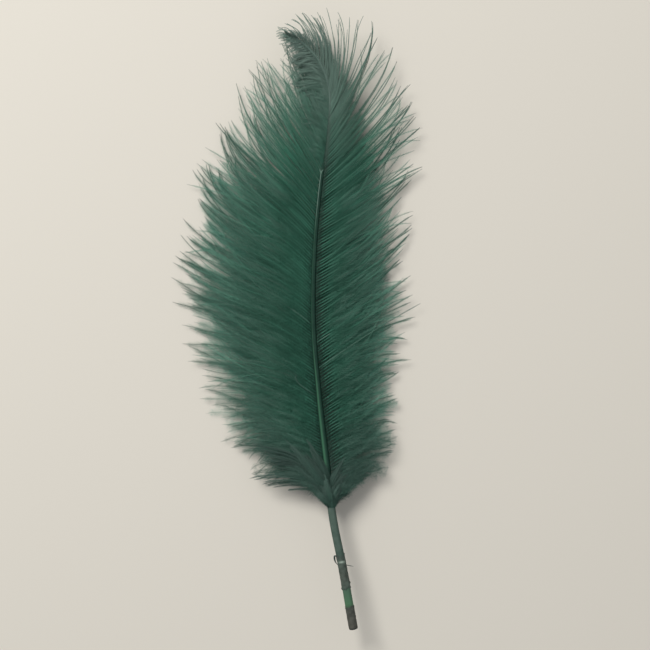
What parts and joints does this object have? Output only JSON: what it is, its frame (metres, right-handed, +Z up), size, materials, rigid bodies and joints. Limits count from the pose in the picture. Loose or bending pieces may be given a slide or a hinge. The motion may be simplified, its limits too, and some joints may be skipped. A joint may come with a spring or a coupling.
{
  "type": "ostrich feather",
  "caption": "Dyed ostrich plume that lies flat: a bare quill, a slender curved shaft and two wide soft vanes of loose barbs, with a tip that curls to one side.",
  "frame": {"origin": "on the table under the middle of the feather's box", "axes": "+Y up the feather from the quill to the tip, +Z up from the table, +X to the right as seen from above with the tip at the top"},
  "size_m": [0.1051, 0.2759, 0.0189],
  "materials": {
    "barbs": "soft dyed down, matt with a faint silky sheen",
    "quill": "dyed horn, satin"
  },
  "bodies": {
    "root": {"feather": "barbs"}
  },
  "joints": []
}
